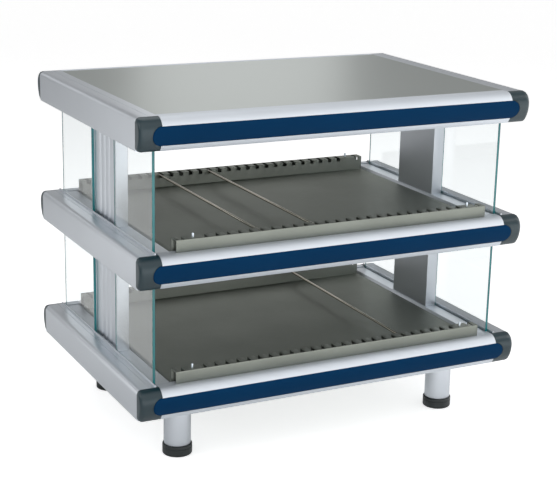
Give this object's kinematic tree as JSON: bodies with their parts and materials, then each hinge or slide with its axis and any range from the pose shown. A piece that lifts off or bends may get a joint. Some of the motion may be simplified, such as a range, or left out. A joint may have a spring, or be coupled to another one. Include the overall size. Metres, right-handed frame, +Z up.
{
  "type": "heated display case",
  "caption": "Countertop heated display case with open front and rear, glass sides, heated shelves, bowed rails and levelling legs.",
  "frame": {"origin": "on the counter under the middle of the case", "axes": "+X along the front towards the right as the customer sees it, +Y from the customers' side to the operator's side, +Z up"},
  "size_m": [0.916, 0.64, 0.7545],
  "materials": {
    "aluminium": "satin anodised",
    "insert": "satin navy strip",
    "cap": "fine-grained moulding",
    "panel": "satin sheet",
    "hardcoat": "dark hardcoat anodised",
    "glass": "toughened, polished edges",
    "chrome": "bright plated",
    "black_plastic": "moulded"
  },
  "bodies": {
    "case": {"front_rail_base": "aluminium", "front_rail_middle": "aluminium", "front_rail_canopy": "aluminium", "rear_rail_base": "aluminium", "rear_rail_middle": "aluminium", "rear_rail_canopy": "aluminium", "side_rail_left_base": "aluminium", "side_rail_left_middle": "aluminium", "side_rail_left_canopy": "aluminium", "side_rail_right_base": "aluminium", "side_rail_right_middle": "aluminium", "side_rail_right_canopy": "aluminium", "front_insert_base": "insert", "front_insert_middle": "insert", "front_insert_canopy": "insert", "cap_front_left_base": "cap", "cap_front_left_middle": "cap", "cap_front_left_canopy": "cap", "cap_front_right_base": "cap", "cap_front_right_middle": "cap", "cap_front_right_canopy": "cap", "cap_rear_left_base": "cap", "cap_rear_left_middle": "cap", "cap_rear_left_canopy": "cap", "cap_rear_right_base": "cap", "cap_rear_right_middle": "cap", "cap_rear_right_canopy": "cap", "top_panel": "panel", "base_pan": "panel", "reflector_middle": "panel", "reflector_canopy": "panel", "shelf_tray_base": "hardcoat", "shelf_tray_middle": "hardcoat", "post_left_lower": "aluminium", "post_right_lower": "aluminium", "post_left_upper": "aluminium", "post_right_upper": "aluminium", "glass_front_left_lower": "glass", "glass_rear_left_lower": "glass", "glass_front_right_lower": "glass", "glass_rear_right_lower": "glass", "glass_front_left_upper": "glass", "glass_rear_left_upper": "glass", "glass_front_right_upper": "glass", "glass_rear_right_upper": "glass", "leg_front_left": "aluminium", "leg_front_right": "aluminium", "leg_rear_left": "aluminium", "leg_rear_right": "aluminium", "cord_gland": "black_plastic"},
    "foot_front_left": {"foot_front_left": "black_plastic"},
    "foot_front_right": {"foot_front_right": "black_plastic"},
    "foot_rear_left": {"foot_rear_left": "black_plastic"},
    "foot_rear_right": {"foot_rear_right": "black_plastic"},
    "rod_base_1": {"divider_rod_base_1": "chrome"},
    "rod_middle_1": {"divider_rod_middle_1": "chrome"},
    "rod_middle_2": {"divider_rod_middle_2": "chrome"},
    "rocker": {"power_rocker": "black_plastic"},
    "knob_base": {"thermostat_knob_base": "black_plastic"},
    "knob_middle": {"thermostat_knob_middle": "black_plastic"}
  },
  "joints": [
    {"name": "foot_front_left_screw", "type": "slide", "parent": "case", "child": "foot_front_left", "axis": [0, 0, -1], "range_m": [0, 0.012]},
    {"name": "foot_front_right_screw", "type": "slide", "parent": "case", "child": "foot_front_right", "axis": [0, 0, -1], "range_m": [0, 0.012]},
    {"name": "foot_rear_left_screw", "type": "slide", "parent": "case", "child": "foot_rear_left", "axis": [0, 0, -1], "range_m": [0, 0.012]},
    {"name": "foot_rear_right_screw", "type": "slide", "parent": "case", "child": "foot_rear_right", "axis": [0, 0, -1], "range_m": [0, 0.012]},
    {"name": "rod_base_1_lift", "type": "slide", "parent": "case", "child": "rod_base_1", "axis": [0, 0, 1], "range_m": [0, 0.06]},
    {"name": "rod_middle_1_lift", "type": "slide", "parent": "case", "child": "rod_middle_1", "axis": [0, 0, 1], "range_m": [0, 0.06]},
    {"name": "rod_middle_2_lift", "type": "slide", "parent": "case", "child": "rod_middle_2", "axis": [0, 0, 1], "range_m": [0, 0.06]},
    {"name": "power_rocker_tilt", "type": "hinge", "parent": "case", "child": "rocker", "pos_m": [0.12, 0.311, 0.15765], "axis": [1, 0, 0], "range_deg": [0, 16]},
    {"name": "thermostat_base_turn", "type": "hinge", "parent": "case", "child": "knob_base", "pos_m": [0.195, 0.311, 0.15765], "axis": [0, -1, 0], "range_deg": [0, 300]},
    {"name": "thermostat_middle_turn", "type": "hinge", "parent": "case", "child": "knob_middle", "pos_m": [0.26, 0.311, 0.15765], "axis": [0, -1, 0], "range_deg": [0, 300]}
  ]
}
